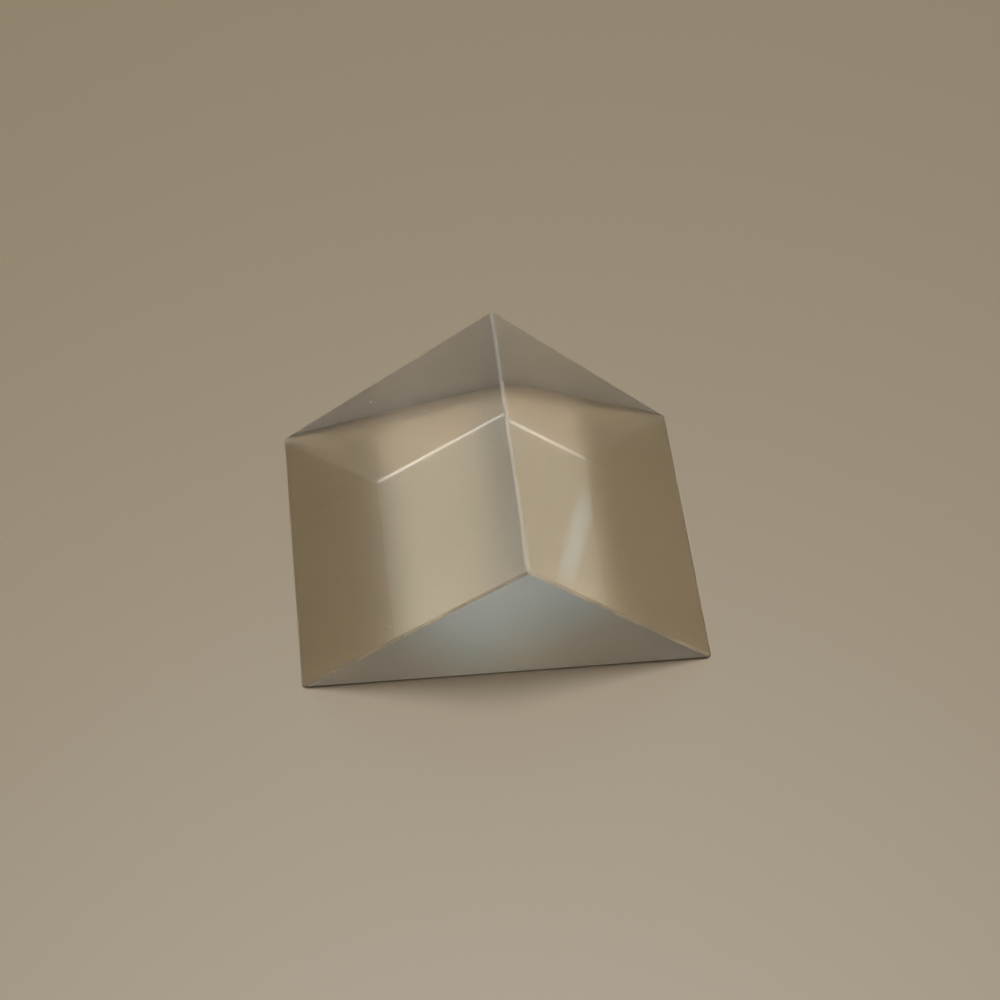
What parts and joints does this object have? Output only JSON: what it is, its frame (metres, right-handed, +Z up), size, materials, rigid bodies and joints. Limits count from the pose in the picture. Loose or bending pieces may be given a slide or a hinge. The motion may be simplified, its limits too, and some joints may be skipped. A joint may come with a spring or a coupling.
{
  "type": "right-angle prism",
  "caption": "Small clear glass right-angle prism with polished leg and hypotenuse faces, finely ground ends and ground protective bevels, for turning or returning a beam of light.",
  "frame": {"origin": "middle of the hypotenuse face, which the prism rests on", "axes": "+Z up, from the hypotenuse face to the ridge; +Y along the ridge, from the front ground end to the back one; +X across the hypotenuse face, towards the right leg face"},
  "size_m": [0.0348, 0.025, 0.0175],
  "materials": {
    "optical_glass": "clear crown glass, polished on the two leg faces and the hypotenuse face, finely ground to a grey matt on the ends and the bevels"
  },
  "bodies": {
    "root": {"prism": "optical_glass"}
  },
  "joints": []
}
